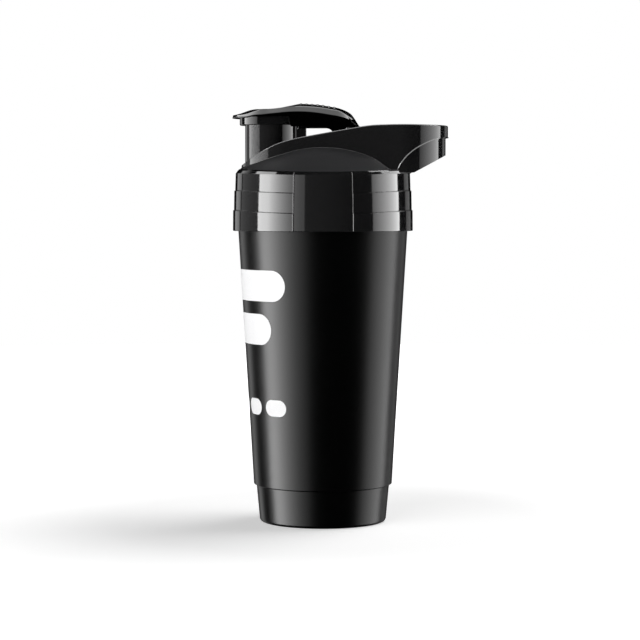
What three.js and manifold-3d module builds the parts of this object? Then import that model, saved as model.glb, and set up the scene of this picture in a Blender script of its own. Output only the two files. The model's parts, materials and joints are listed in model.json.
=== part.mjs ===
// Protein shaker bottle: a tapered cup, a screw lid with a domed top, a spout under a flip cap, a carry loop,
// a mixing grid clipped under the lid and a wire whisk ball loose in the cup.
// Millimetres, +Z up. The origin is the centre of the base on the surface the bottle stands on.
// -X is the spout side and +X is the carry loop side.
import * as THREE from 'three';
import { mergeVertices } from 'three/addons/utils/BufferGeometryUtils.js';
import Module from 'manifold-3d';

const wasm = await Module();
wasm.setup();

// Driving dimensions
const GAP = 0.4; // running clearance between neighbouring pieces
const WALL = 2; // moulded wall of the cup and the lid
const TURN_STEPS = 40; // facets of a full turn on the large round pieces
const SMALL_STEPS = 24; // facets of a full turn on the small round pieces

// Cup
const FOOT_R = 35.3;
const FOOT_TOP_R = 37.2;
const STEP_Z = 21; // height of the step above the foot
const STEP_R = 38.7;
const SHOULDER_R = 47.4;
const SHOULDER_Z = 164.6;
const NECK_R = 44;
const RIM_Z = 190;
const FLOOR_Z = 3.2;

// Screw thread between the neck and the collar
const THREAD_LEAD = 6;
const THREAD_R = 1.2; // radius of the round thread ridge
const THREAD_TURNS = 1.25;
const THREAD_START_Z = 171;
const COLLAR_BORE_R = NECK_R + THREAD_R + GAP;
const COUNTERBORE_R = SHOULDER_R + GAP + 0.1; // wider mouth of the collar, over the cup's shoulder
const COUNTERBORE_Z = SHOULDER_Z + WALL;

// Lid collar: three stacked rings, widest at the bottom
const COLLAR_Z = 162.7;
const COLLAR_R = 50.2;
const RINGS = [
  { bottomR: 50.2, topR: 50.1, topZ: 174.2 },
  { bottomR: 49.6, topR: 49.4, topZ: 185.1 },
  { bottomR: 48.9, topR: 48.6, topZ: 194.6 },
];
const COLLAR_TOP_Z = 197.1;
const PANEL_HALF_ANGLE = THREE.MathUtils.degToRad(18.7);
const PANEL_TOP_Z = 195.3;
const PANEL_R = COLLAR_R + 0.15;
const CHAMFER_R = 46.2; // inner edge of the chamfer that leads up to the collar's top

// Lid dome: a paraboloid
const DOME_R = 45.4;
const DOME_TOP_Z = 214.3;
const DOME_DROP = 0.0075; // drop in mm for each mm2 of radius squared
const SKIRT_R = 41.4; // inner skirt that reaches down into the neck
const SKIRT_Z = 184;
const LAND_Z = 192.8; // face that presses on the gasket

// Spout and vent
const SPOUT_X = -28.8;
const SPOUT_R = 14.5;
const SPOUT_BORE_R = 12.7;
const SPOUT_TOP_Z = 223.4;
const VENT_X = -12.4;
const VENT_R = 3.3;
const VENT_BORE_X = -11.6;
const VENT_BORE_R = 1;
const VENT_TOP_Z = 219.2;
const VENT_SEAL_R = 2.3;
const VENT_STEM_R = 1.3;
const VENT_SEAT_R = VENT_SEAL_R + 1.3; // boss inside the cap that carries the vent seal

// Cap hinge
const HINGE_X = 14;
const HINGE_Z = 218.5;
const PIN_R = 1.5;
const PIN_HALF_LENGTH = 17;
const EAR_INNER_Y = 10.8;
const EAR_OUTER_Y = 13.6;
const EAR_R = 3.6;
const POCKET_FLOOR_Z = 209.2;
const POCKET_HALF_Y = 19.5;

// Flip cap
const CAP_NOSE_X = -50.4;
const CAP_BACK_X = 21;
const CAP_HALF_Y = 18.8;
const CAP_ARM_HALF_Y = 16.4;
const CAP_WALL = 1.8;
const CAP_SKIRT_R = 17.6;
const CAP_SKIRT_Z = 221.2;
const CAP_PLATE_Z = 226; // underside of the plate over the spout

// Carry loop
const LOOP_HALF_Y = 28;
const LOOP_FRONT_X = -20; // centre of the front arc
const LOOP_END_X = 69.7;
const LOOP_TOP_Z = 221;
const LOOP_BAND = 4;
const LOOP_END_BAND = 5.5;
const SEAM_INSET = 1.3;

// Mixing grid and whisk ball
const GRID_R = SKIRT_R - WALL - GAP;
const GRID_Z = 178;
const GRID_PITCH = 12;
const BALL_R = 24;
const BALL_WIRE_R = 1.1;
const BALL_TURNS = 7;

// ---------------------------------------------------------------- shape helpers

// Turns a closed geometry into a solid that can be joined and cut.
function solidOf(geometry) {
  geometry.deleteAttribute('normal');
  geometry.deleteAttribute('uv');
  const merged = mergeVertices(geometry, 1e-4);
  return new wasm.Manifold(new wasm.Mesh({
    numProp: 3,
    vertProperties: new Float32Array(merged.attributes.position.array),
    triVerts: new Uint32Array(merged.index.array),
  }));
}

function geometryOf(solid) {
  const mesh = solid.getMesh();
  const geometry = new THREE.BufferGeometry();
  geometry.setAttribute('position', new THREE.BufferAttribute(mesh.vertProperties, 3));
  geometry.setIndex(new THREE.BufferAttribute(mesh.triVerts, 1));
  geometry.computeVertexNormals();
  return geometry;
}

function join(...solids) {
  return solids.reduce((whole, next) => whole.add(next));
}

// The same feature on the +Y and the -Y side.
function eachSide(make) {
  return join(make(1), make(-1));
}

// Points of an arc in the (radius, height) plane, in degrees.
function arc(centreR, centreZ, radius, from, to, steps) {
  return Array.from({ length: steps + 1 }, (_, i) => {
    const angle = THREE.MathUtils.degToRad(from + ((to - from) * i) / steps);
    return [centreR + radius * Math.cos(angle), centreZ + radius * Math.sin(angle)];
  });
}

// Solid of revolution about Z from (radius, height) points.
function turned(profile, steps = TURN_STEPS) {
  const points = profile.map(([r, z]) => new THREE.Vector2(r, z));
  return solidOf(new THREE.LatheGeometry(points, steps).rotateX(Math.PI / 2));
}

// Ring of rectangular section about Z.
function ring(innerR, outerR, bottomZ, topZ, steps = TURN_STEPS) {
  const corners = [[innerR, bottomZ], [outerR, bottomZ], [outerR, topZ], [innerR, topZ], [innerR, bottomZ]];
  return turned(corners, steps);
}

function rod(radius, bottomZ, topZ, x = 0, steps = SMALL_STEPS) {
  const geometry = new THREE.CylinderGeometry(radius, radius, topZ - bottomZ, steps);
  return solidOf(geometry.rotateX(Math.PI / 2).translate(x, 0, (topZ + bottomZ) / 2));
}

// Rod along Y at the hinge axis.
function hingeRod(radius, fromY, toY) {
  const geometry = new THREE.CylinderGeometry(radius, radius, Math.abs(toY - fromY), 16);
  return solidOf(geometry.translate(HINGE_X, (toY + fromY) / 2, HINGE_Z));
}

function block(fromX, toX, fromY, toY, fromZ, toZ) {
  const geometry = new THREE.BoxGeometry(toX - fromX, Math.abs(toY - fromY), toZ - fromZ);
  return solidOf(geometry.translate((toX + fromX) / 2, (toY + fromY) / 2, (toZ + fromZ) / 2));
}

// Plan shape in X and Y, raised from one height to another.
function raised(shape, bottomZ, topZ, curveSegments = 16) {
  const options = { depth: topZ - bottomZ, bevelEnabled: false, curveSegments };
  return solidOf(new THREE.ExtrudeGeometry(shape, options).translate(0, 0, bottomZ));
}

// Side shape in X and Z, carried across from -halfY to +halfY.
function across(shape, halfY) {
  const options = { depth: 2 * halfY, bevelEnabled: false, curveSegments: 4 };
  return solidOf(new THREE.ExtrudeGeometry(shape, options).rotateX(Math.PI / 2).translate(0, halfY, 0));
}

function shapeOf(points) {
  return new THREE.Shape(points.map(([x, y]) => new THREE.Vector2(x, y)));
}

// Height of the dome's outer face, lifted by an offset.
function domeZ(radius, offset = 0) {
  return DOME_TOP_Z + offset - DOME_DROP * radius * radius;
}

function domePoints(offset, fromR, toR, steps) {
  return Array.from({ length: steps + 1 }, (_, i) => {
    const radius = fromR + ((toR - fromR) * i) / steps;
    return [radius, domeZ(radius, offset)];
  });
}

// Round wire wound along a curve.
function wire(curve, radius, steps, sides) {
  const section = new THREE.Shape();
  section.absarc(0, 0, radius, 0, 2 * Math.PI);
  const options = { steps, bevelEnabled: false, extrudePath: curve, curveSegments: sides };
  return solidOf(new THREE.ExtrudeGeometry(section, options));
}

class Helix extends THREE.Curve {
  constructor(radius, startZ, turns) {
    super();
    this.radius = radius;
    this.startZ = startZ;
    this.turns = turns;
  }

  getPoint(t, target = new THREE.Vector3()) {
    const angle = 2 * Math.PI * this.turns * t;
    const z = this.startZ + THREAD_LEAD * this.turns * t;
    return target.set(this.radius * Math.cos(angle), this.radius * Math.sin(angle), z);
  }
}

// Spiral over a sphere from just beside the lower pole to just beside the upper one.
class BallSpiral extends THREE.Curve {
  getPoint(t, target = new THREE.Vector3()) {
    const radius = BALL_R - BALL_WIRE_R;
    const poleGap = 0.12;
    const tilt = poleGap + (Math.PI - 2 * poleGap) * t;
    const angle = 2 * Math.PI * BALL_TURNS * t;
    const centreZ = FLOOR_Z + GAP + BALL_R;
    const flat = radius * Math.sin(tilt);
    return target.set(flat * Math.cos(angle), flat * Math.sin(angle), centreZ - radius * Math.cos(tilt));
  }
}

function thread(radius, startZ) {
  return wire(new Helix(radius, startZ, THREAD_TURNS), THREAD_R, 32, 3);
}

// ---------------------------------------------------------------- pieces

function cup() {
  const cornerR = 1.7;
  const stepEdgeR = 1.4;
  const shoulderEdgeR = 1.5;
  const rimEdgeR = 0.9;
  const neckBoreR = NECK_R - WALL;
  const floorEdgeR = 6;
  const grooveDepth = 0.9; // between the flat centre of the base and its foot ring
  const outside = [
    [0, 0],
    [26, 0],
    [27, grooveDepth],
    [30.4, grooveDepth],
    [31.4, 0],
    ...arc(FOOT_R - cornerR, cornerR, cornerR, -90, 0, 3),
    [FOOT_TOP_R, STEP_Z],
    ...arc(STEP_R - stepEdgeR, STEP_Z + stepEdgeR, stepEdgeR, -90, 0, 3),
    ...arc(SHOULDER_R - shoulderEdgeR, SHOULDER_Z, shoulderEdgeR, 0, 90, 2),
    [NECK_R, SHOULDER_Z + shoulderEdgeR],
    ...arc(NECK_R - rimEdgeR, RIM_Z - rimEdgeR, rimEdgeR, 0, 90, 2),
  ];
  const inside = [
    ...arc(neckBoreR + rimEdgeR, RIM_Z - rimEdgeR, rimEdgeR, 90, 180, 2),
    [neckBoreR, SHOULDER_Z + WALL],
    [SHOULDER_R - WALL, SHOULDER_Z - 4],
    [STEP_R - WALL, STEP_Z + 2],
    [STEP_R - WALL - 1.5, STEP_Z - 0.5],
    ...arc(FOOT_R - WALL - floorEdgeR, FLOOR_Z + floorEdgeR, floorEdgeR, 0, -90, 3),
    [0, FLOOR_Z],
  ];
  return turned([...outside, ...inside]).add(thread(NECK_R, THREAD_START_Z));
}

function gripPanels() {
  const reach = 60;
  const halfWidth = reach * Math.tan(PANEL_HALF_ANGLE);
  const band = ring(COUNTERBORE_R + 0.3, PANEL_R, COLLAR_Z + 0.5, PANEL_TOP_Z);
  const wedges = eachSide((side) => {
    const corners = [[0, 0], [side * halfWidth, -side * reach], [-side * halfWidth, -side * reach]];
    return raised(shapeOf(corners.reverse()), COLLAR_Z, PANEL_TOP_Z + 1);
  });
  return band.intersect(wedges);
}

function lidBody() {
  const inside = [
    ...domePoints(-WALL, 0, SKIRT_R - WALL, 5),
    [SKIRT_R - WALL, SKIRT_Z],
    [SKIRT_R, SKIRT_Z],
    [SKIRT_R, LAND_Z],
    [COLLAR_BORE_R, LAND_Z],
    [COLLAR_BORE_R, COUNTERBORE_Z],
    [COUNTERBORE_R, COUNTERBORE_Z],
    [COUNTERBORE_R, COLLAR_Z],
  ];
  const rings = RINGS.flatMap(({ bottomR, topR, topZ }, i) => {
    const bottomZ = i === 0 ? COLLAR_Z : RINGS[i - 1].topZ;
    return [[bottomR, bottomZ], [topR, topZ]];
  });
  const outside = [
    ...rings,
    [48, 196.2],
    [CHAMFER_R, COLLAR_TOP_Z],
    [DOME_R, COLLAR_TOP_Z],
    ...domePoints(0, DOME_R, 0, 7),
  ];
  return turned([...inside, ...outside]);
}

// Sunk floor in the dome that lets the back of the cap swing down as it opens.
function hingePocket(inset) {
  return block(
    HINGE_X - 8 + inset, HINGE_X + 12 - inset,
    -POCKET_HALF_Y + inset, POCKET_HALF_Y - inset,
    POCKET_FLOOR_Z - WALL + inset, DOME_TOP_Z,
  );
}

function hingeEars() {
  return eachSide((side) => {
    const [fromY, toY] = [side * EAR_INNER_Y, side * EAR_OUTER_Y];
    const foot = block(HINGE_X - EAR_R, HINGE_X + 0.6, fromY, toY, POCKET_FLOOR_Z - 1, HINGE_Z);
    return foot.add(hingeRod(EAR_R, fromY, toY));
  });
}

function lidShell() {
  const belowDome = 198;
  const dome = turned([[0, belowDome], ...domePoints(-1, DOME_R - 2, 0, 7)]);
  const pocketBoss = hingePocket(0).intersect(dome);
  const standing = join(
    rod(SPOUT_R, belowDome, SPOUT_TOP_Z, SPOUT_X),
    rod(VENT_R, belowDome, VENT_TOP_Z, VENT_X, 16),
  ).subtract(dome);
  return join(lidBody(), gripPanels(), standing, pocketBoss)
    .subtract(hingePocket(WALL))
    .add(hingeEars())
    .add(thread(COLLAR_BORE_R, THREAD_START_Z + THREAD_LEAD / 2))
    .subtract(rod(SPOUT_BORE_R, belowDome - 2, SPOUT_TOP_Z + 1, SPOUT_X))
    .subtract(rod(VENT_BORE_R, belowDome, VENT_TOP_Z + 1, VENT_BORE_X, 12))
    .subtract(hingeRod(PIN_R + 0.3, -PIN_HALF_LENGTH, PIN_HALF_LENGTH));
}

function lidGasket() {
  return ring(SKIRT_R + GAP, COLLAR_BORE_R - GAP, RIM_Z + 0.3, LAND_Z - 0.3);
}

// Plan outline of the carry loop: a long oval, drawn in by an inset all round and further at the end.
function ovalPlan(inset, endInset) {
  const radius = LOOP_HALF_Y - inset;
  const shape = new THREE.Shape();
  shape.absarc(LOOP_FRONT_X, 0, radius, Math.PI / 2, (3 * Math.PI) / 2);
  shape.absarc(LOOP_END_X - endInset - radius, 0, radius, -Math.PI / 2, Math.PI / 2);
  return shape;
}

// Everything that the lid fills, with clearance, so that the loop can rest over it.
function lidClearance() {
  const low = COLLAR_Z - 1;
  return turned([
    [0, low],
    [COLLAR_R + GAP, low],
    [COLLAR_R + GAP, RINGS[2].topZ + GAP],
    [CHAMFER_R + 0.2, COLLAR_TOP_Z + GAP],
    [DOME_R + GAP, COLLAR_TOP_Z + GAP],
    ...domePoints(GAP, DOME_R + GAP, 0, 8),
  ]);
}

// Underside of the upper loop shell behind the dome, from the collar out to the loop's end.
const SEAM_LINE = [[40.9, 196.4], [43.3, 200.5], [46.1, 204.1], [51.6, 208.2], [57.2, 211.3], [63.2, 213.2]];

function loopUpperShell() {
  const crest = [[7.8, 218.2], [-0.4, 216.8], [-15.2, 213.8], [-23.4, 211.5], [-33.3, 207.1], [-40.5, 203.7]];
  const side = shapeOf([
    [-49, 190],
    [SEAM_LINE[0][0], 190],
    ...SEAM_LINE,
    [LOOP_END_X + 1, 214.4],
    [LOOP_END_X + 1, LOOP_TOP_Z],
    [27, LOOP_TOP_Z],
    ...crest,
    [-49, 198.8],
  ]);
  const inner = ovalPlan(LOOP_BAND, LOOP_END_BAND);
  const band = raised(ovalPlan(0, 0), 185, 225).subtract(raised(inner, 184, 226));
  return across(side, LOOP_HALF_Y + 1).intersect(band).subtract(lidClearance());
}

function loopLowerShell() {
  const seam = SEAM_LINE.map(([x, z]) => [x, z - GAP]).slice(1);
  const side = shapeOf([
    [44, RINGS[2].topZ + 0.2],
    [49.8, RINGS[2].topZ + 0.2],
    [66.6, 203.8],
    [LOOP_END_X, 205.4],
    [LOOP_END_X, 214],
    ...seam.reverse(),
  ]);
  const inner = ovalPlan(LOOP_BAND, LOOP_END_BAND);
  const band = raised(ovalPlan(SEAM_INSET, SEAM_INSET), 185, 220).subtract(raised(inner, 184, 221));
  const ends = block(43.5, LOOP_END_X, -LOOP_HALF_Y, LOOP_HALF_Y, 185, 220);
  return across(side, LOOP_HALF_Y).intersect(band).intersect(ends).subtract(lidClearance());
}

// Plan outline of the flip cap: a rounded nose over the spout and a narrower arm back to the hinge.
function capPlan(inset) {
  const half = CAP_HALF_Y - inset;
  const arm = CAP_ARM_HALF_Y - inset;
  const nose = CAP_NOSE_X + inset;
  const back = CAP_BACK_X - inset;
  const shape = new THREE.Shape();
  shape.moveTo(back, -arm);
  shape.lineTo(back, arm);
  shape.lineTo(-4, arm);
  shape.quadraticCurveTo(-14, half, SPOUT_X, half);
  shape.bezierCurveTo(-40, half, nose, 12, nose, 0);
  shape.bezierCurveTo(nose, -12, -40, -half, SPOUT_X, -half);
  shape.quadraticCurveTo(-14, -half, -4, -arm);
  return shape;
}

// Side outline of the flip cap from nose to hinge, drawn in by an inset.
function capSide(inset) {
  const backX = CAP_BACK_X - inset;
  const open = inset > 0 ? 1 : 0; // the hollow runs out through the open underside
  const underArm = 220.2 - open;
  const crown = [
    [CAP_NOSE_X, 228.2],
    [-45.8, 229.6],
    [-34, 231.2],
    [-20.6, 232.5],
    [-10.5, 234.1],
    [2.4, 232.6],
  ];
  return shapeOf([
    ...crown.map(([x, z]) => [x, z - inset]),
    [13.6 - inset / 2, 229.6 - inset],
    [19.1 - inset, 223.8],
    [backX, 220.5],
    [backX - 2, HINGE_Z - 4],
    [HINGE_X - 4, HINGE_Z - 4],
    [HINGE_X - 9, HINGE_Z - 2],
    [1, underArm],
    [-17, underArm],
    [-19, CAP_PLATE_Z - open],
    [CAP_NOSE_X, CAP_PLATE_Z - open],
  ].reverse());
}

function flipCap() {
  const outer = across(capSide(0), CAP_HALF_Y + 1).intersect(raised(capPlan(0), 210, 236));
  const hollow = across(capSide(CAP_WALL), CAP_HALF_Y).intersect(raised(capPlan(CAP_WALL), 205, 236));
  const below = block(-48, 25, -CAP_ARM_HALF_Y + CAP_WALL, CAP_ARM_HALF_Y - CAP_WALL, 205, CAP_SKIRT_Z + 0.2);
  const skirtBoreR = CAP_SKIRT_R - CAP_WALL;
  const skirt = ring(skirtBoreR, CAP_SKIRT_R, CAP_SKIRT_Z, CAP_PLATE_Z + 3, SMALL_STEPS)
    .translate([SPOUT_X, 0, 0]);
  const ventSeat = rod(VENT_SEAT_R, CAP_SKIRT_Z, CAP_PLATE_Z + 5, VENT_X, 16);
  // The hinge ears pass through the cap's back wall as it opens.
  const earSlots = eachSide((side) => {
    const [fromY, toY] = [side * (EAR_INNER_Y - GAP), side * (EAR_OUTER_Y + GAP)];
    return block(HINGE_X + 4, HINGE_X + 9, fromY, toY, HINGE_Z - 6, HINGE_Z + 4.6);
  });
  return outer
    .subtract(hollow)
    .subtract(below)
    .add(skirt)
    .add(ventSeat)
    .subtract(earSlots)
    .subtract(rod(skirtBoreR, CAP_SKIRT_Z - 3, CAP_PLATE_Z + 2.6, SPOUT_X))
    .subtract(rod(VENT_STEM_R + 0.3, CAP_SKIRT_Z - 1, CAP_PLATE_Z, VENT_BORE_X, 12))
    .subtract(hingeRod(PIN_R + 0.3, -PIN_HALF_LENGTH - 3, PIN_HALF_LENGTH + 3));
}

// Plug moulding inside the cap that closes the spout.
function spoutPlug() {
  const plugR = SPOUT_BORE_R - 1.2;
  const discR = CAP_SKIRT_R - CAP_WALL - GAP;
  const tipZ = 217.6;
  const discZ = SPOUT_TOP_Z + 0.5;
  const topZ = CAP_PLATE_Z + 0.6;
  return turned([
    [0, discZ + 0.2],
    [plugR - WALL, discZ + 0.2],
    [plugR - WALL, tipZ],
    [plugR, tipZ],
    [plugR, discZ],
    [discR, discZ],
    [discR, topZ],
    [0, topZ],
  ], SMALL_STEPS).translate([SPOUT_X, 0, 0]);
}

function spoutSeal() {
  const beadR = 0.28;
  const bead = arc(SPOUT_BORE_R - 0.6, SPOUT_TOP_Z - 3.2, beadR, 0, 360, 8);
  return turned(bead, SMALL_STEPS).translate([SPOUT_X, 0, 0]);
}

function ventSeal() {
  return turned([
    [0, VENT_TOP_Z + 0.3],
    [VENT_SEAL_R, VENT_TOP_Z + 0.3],
    [VENT_SEAL_R, CAP_SKIRT_Z - 0.3],
    [VENT_STEM_R, CAP_SKIRT_Z - 0.3],
    [VENT_STEM_R, CAP_SKIRT_Z + 3],
    [0, CAP_SKIRT_Z + 3],
  ], 16).translate([VENT_BORE_X, 0, 0]);
}

function hingePin() {
  return hingeRod(PIN_R, -PIN_HALF_LENGTH + 1, PIN_HALF_LENGTH - 1);
}

function mixingGrid() {
  const barHalf = 0.8;
  const barHeight = 1.6;
  const layerShift = 0.3; // the bars of the second direction stand a little higher
  const count = Math.floor((GRID_R - 2) / GRID_PITCH);
  const bars = [];
  for (let i = -count; i <= count; i += 1) {
    const at = i * GRID_PITCH;
    const reach = Math.sqrt((GRID_R - 1.2) ** 2 - at ** 2);
    bars.push(block(at - barHalf, at + barHalf, -reach, reach, GRID_Z, GRID_Z + barHeight));
    const lifted = GRID_Z + layerShift;
    bars.push(block(-reach, reach, at - barHalf, at + barHalf, lifted, lifted + barHeight));
  }
  return join(ring(GRID_R - 1.6, GRID_R, GRID_Z, LAND_Z - 2), ...bars);
}

function whiskBall() {
  return wire(new BallSpiral(), BALL_WIRE_R, 112, 3);
}

// ---------------------------------------------------------------- assembly

const FINISHES = {
  satinBlack: { color: 0x0d0d0e, roughness: 0.45, metalness: 0 },
  glossBlack: { color: 0x08080a, roughness: 0.12, metalness: 0 },
  silicone: { color: 0x2b2c2e, roughness: 0.7, metalness: 0 },
  moulded: { color: 0x17181a, roughness: 0.4, metalness: 0 },
  steel: { color: 0xb9bcc0, roughness: 0.25, metalness: 1 },
};

const PIECES = [
  ['cup', cup, 'satinBlack'],
  ['lid_shell', lidShell, 'glossBlack'],
  ['lid_gasket', lidGasket, 'silicone'],
  ['loop_upper_shell', loopUpperShell, 'glossBlack'],
  ['loop_lower_shell', loopLowerShell, 'glossBlack'],
  ['flip_cap', flipCap, 'glossBlack'],
  ['spout_plug', spoutPlug, 'moulded'],
  ['spout_seal', spoutSeal, 'silicone'],
  ['vent_seal', ventSeal, 'silicone'],
  ['hinge_pin', hingePin, 'steel'],
  ['mixing_grid', mixingGrid, 'moulded'],
  ['whisk_ball', whiskBall, 'steel'],
];

const shaker = new THREE.Group();
for (const [name, build, finish] of PIECES) {
  const mesh = new THREE.Mesh(geometryOf(build()), new THREE.MeshStandardMaterial(FINISHES[finish]));
  mesh.name = name;
  shaker.add(mesh);
}

export default shaker;
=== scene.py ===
# The looks of the protein shaker bottle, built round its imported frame. Shapes are in millimetres until
# they become a mesh; materials, lamps and the camera are in metres.
import json
import math

import bmesh
import bpy
import numpy as np
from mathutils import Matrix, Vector


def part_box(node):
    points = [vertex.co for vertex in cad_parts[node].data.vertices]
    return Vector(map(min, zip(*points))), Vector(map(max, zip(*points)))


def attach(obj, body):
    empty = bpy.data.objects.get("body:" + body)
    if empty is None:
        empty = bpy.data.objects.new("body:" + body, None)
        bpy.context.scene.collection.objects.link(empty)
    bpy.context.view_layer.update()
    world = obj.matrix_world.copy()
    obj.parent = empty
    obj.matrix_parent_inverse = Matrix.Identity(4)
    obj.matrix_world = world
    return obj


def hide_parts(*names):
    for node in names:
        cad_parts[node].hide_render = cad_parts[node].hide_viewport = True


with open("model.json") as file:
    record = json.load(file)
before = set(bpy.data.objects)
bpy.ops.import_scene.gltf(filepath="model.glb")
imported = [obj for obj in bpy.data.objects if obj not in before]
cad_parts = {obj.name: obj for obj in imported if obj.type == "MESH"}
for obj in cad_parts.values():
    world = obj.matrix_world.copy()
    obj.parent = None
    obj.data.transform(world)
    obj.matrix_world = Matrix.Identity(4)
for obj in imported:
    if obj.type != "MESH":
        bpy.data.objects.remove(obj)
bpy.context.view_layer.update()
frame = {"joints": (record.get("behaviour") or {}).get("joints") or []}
MM = 0.001


def box_mm(node):
    low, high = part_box(node)
    return np.array(low) / MM, np.array(high) / MM


# ---------------------------- sizes read from the frame
cup_low, cup_high = box_mm("cup")
lid_low, lid_high = box_mm("lid_shell")
loop_low, loop_high = box_mm("loop_upper_shell")
lower_low, lower_high = box_mm("loop_lower_shell")
cap_low, cap_high = box_mm("flip_cap")
plug_low, plug_high = box_mm("spout_plug")
vent_low, vent_high = box_mm("vent_seal")
gasket_low, gasket_high = box_mm("lid_gasket")
grid_low, grid_high = box_mm("mixing_grid")
ball_low, ball_high = box_mm("whisk_ball")
seal_low, seal_high = box_mm("spout_seal")
pin_low, pin_high = box_mm("hinge_pin")
cap_joint = next(joint for joint in frame["joints"] if joint["name"] == "cap_flip")
hinge_x, _, hinge_z = np.array(cap_joint["pos_m"]) / MM

# Cup
SHOULDER_R = cup_high[0]
RIM_Z = cup_high[2]
FOOT_R = SHOULDER_R - 12.1
STEP_Z = 21.0  # where the cup steps in above its foot
STEP_R = SHOULDER_R - 8.7
SHOULDER_Z = RIM_Z - 25.4
NECK_R = SHOULDER_R - 3.4
NECK_FOOT_Z = SHOULDER_Z + 1.5
WALL = 2.0
FLOOR_Z = 3.2

# Lid: collar, skirt inside the neck, and dome
COLLAR_Z = lid_low[2]
COLLAR_R = lid_high[0]
COLLAR_BORE_R = gasket_high[0] + 0.4
COLLAR_TOP_Z = COLLAR_Z + 34.4
RING_TOPS = (COLLAR_Z + 11.5, COLLAR_Z + 22.4, COLLAR_Z + 31.9)
LAND_Z = gasket_high[2] + 0.3  # face that presses on the gasket
SKIRT_R = 41.4
SKIRT_Z = RIM_Z - 6
RIM_R = COLLAR_R - 3.7  # where the collar's shoulder meets the dome
DOME_TOP_Z = RIM_Z + 24.3
DOME_DROP = 0.0075  # the dome falls by this times the square of the radius
PANEL_HALF_ANGLE = math.radians(18.7)
BOW = 1.9  # how much lower the ring lines run at the sides of the collar than at its front and back

# Screw thread
THREAD_LEAD = 6.0
THREAD_TURNS = 1.25
THREAD_HEIGHT = 1.2
THREAD_START_Z = RIM_Z - 19

# Spout and air vent
SPOUT_X = (plug_low[0] + plug_high[0]) / 2
SPOUT_R = 14.5
SPOUT_BORE_R = 12.7
SPOUT_TOP_Z = lid_high[2]
VENT_X = SPOUT_X + 15.9
VENT_POST_HALF = 3.7
VENT_BORE_X = (vent_low[0] + vent_high[0]) / 2
VENT_SEAL_R = (vent_high[0] - vent_low[0]) / 2
VENT_TOP_Z = vent_low[2] - 0.05

# Hinge of the cap: two ears on the lid and a pin through them
EAR_R = 3.6
EAR_INNER_Y = 10.8
EAR_OUTER_Y = 13.6
POCKET_HALF_Y = 17.5
POCKET_FLOOR_Z = hinge_z - 9.3
PIN_R = 1.5

# Carry loop
LOOP_HALF_Y = loop_high[1]
LOOP_FRONT_X = loop_low[0] + LOOP_HALF_Y
LOOP_FRONT_REACH = 25.3  # half length of the flattened arc round the spout
LOOP_FREE_X = 40.6  # beyond this the loop's wall stands free of the lid
LOOP_END_X = loop_high[0]
LOOP_TOP_Z = loop_high[2]
LOOP_BAND = 4.0
LOOP_END_BAND = 5.5
SEAM_INSET = LOOP_END_X - lower_high[0]

# Flip cap
CAP_NOSE_X = cap_low[0]
CAP_BACK_X = cap_high[0]
CAP_HALF_Y = cap_high[1]
CAP_WALL = 1.8
CAP_SKIRT_R = 17.5
CAP_SKIRT_Z = vent_high[2] - 3
CAP_PLATE_Z = 225.6  # underside of the cap over the spout
SEAL_Z = (seal_low[2] + seal_high[2]) / 2  # middle of the spout's seal
CAP_SPINE = (-31.0, 15.0)  # the stretch along X that the cap's rings of points shrink to

# ---------------------------- curves and outlines


def smooth_line(points):
    """A smooth curve through a few (x, y) points, as a function of x."""
    xs, ys = np.array(points, float).T
    slopes = np.gradient(ys, xs)

    def at(x):
        x = np.clip(x, xs[0], xs[-1])
        i = np.clip(np.searchsorted(xs, x) - 1, 0, len(xs) - 2)
        width = xs[i + 1] - xs[i]
        t = (x - xs[i]) / width
        start = (1 + 2 * t) * (1 - t) ** 2 * ys[i] + t * (1 - t) ** 2 * width * slopes[i]
        end = t * t * (3 - 2 * t) * ys[i + 1] + t * t * (t - 1) * width * slopes[i + 1]
        return start + end

    return at


def smoothstep(low, high, x):
    t = np.clip((x - low) / (high - low), 0, 1)
    return t * t * (3 - 2 * t)


def filleted(corners, closed=False, steps=4):
    """Points of an outline whose corners are (x, y, fillet radius)."""
    out = []
    count = len(corners)
    for i, (x, y, radius) in enumerate(corners):
        here = np.array([x, y], float)
        if radius == 0 or (not closed and i in (0, count - 1)):
            out.append(here)
            continue
        back = np.array(corners[i - 1][:2], float) - here
        ahead = np.array(corners[(i + 1) % count][:2], float) - here
        back /= np.linalg.norm(back)
        ahead /= np.linalg.norm(ahead)
        half = math.acos(np.clip(back @ ahead, -1, 1)) / 2
        centre = here + (back + ahead) / np.linalg.norm(back + ahead) * radius / math.sin(half)
        start = here + back * radius / math.tan(half) - centre
        end = here + ahead * radius / math.tan(half) - centre
        first = math.atan2(start[1], start[0])
        turn = math.remainder(math.atan2(end[1], end[0]) - first, 2 * math.pi)
        for k in range(steps + 1):
            angle = first + turn * k / steps
            out.append(centre + radius * np.array([math.cos(angle), math.sin(angle)]))
    return np.array(out)


def subdivided(profile, from_z, to_z, pitch):
    """The same profile with extra points on its upright stretches between two heights."""
    out = [profile[0]]
    for a, b in zip(profile[:-1], profile[1:]):
        inside = min(a[1], b[1]) >= from_z - 1 and max(a[1], b[1]) <= to_z + 1
        parts = max(1, int(abs(b[1] - a[1]) / pitch)) if inside else 1
        out += [a + (b - a) * k / parts for k in range(1, parts + 1)]
    return np.array(out)


def dome_z(radius):
    return DOME_TOP_Z - DOME_DROP * radius * radius


def lid_top_z(radius):
    """The dome's outer face, which turns down a little more steeply to the collar's shoulder."""
    return dome_z(radius) - 1.2 * smoothstep(RIM_R - 7, RIM_R, radius)


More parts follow.
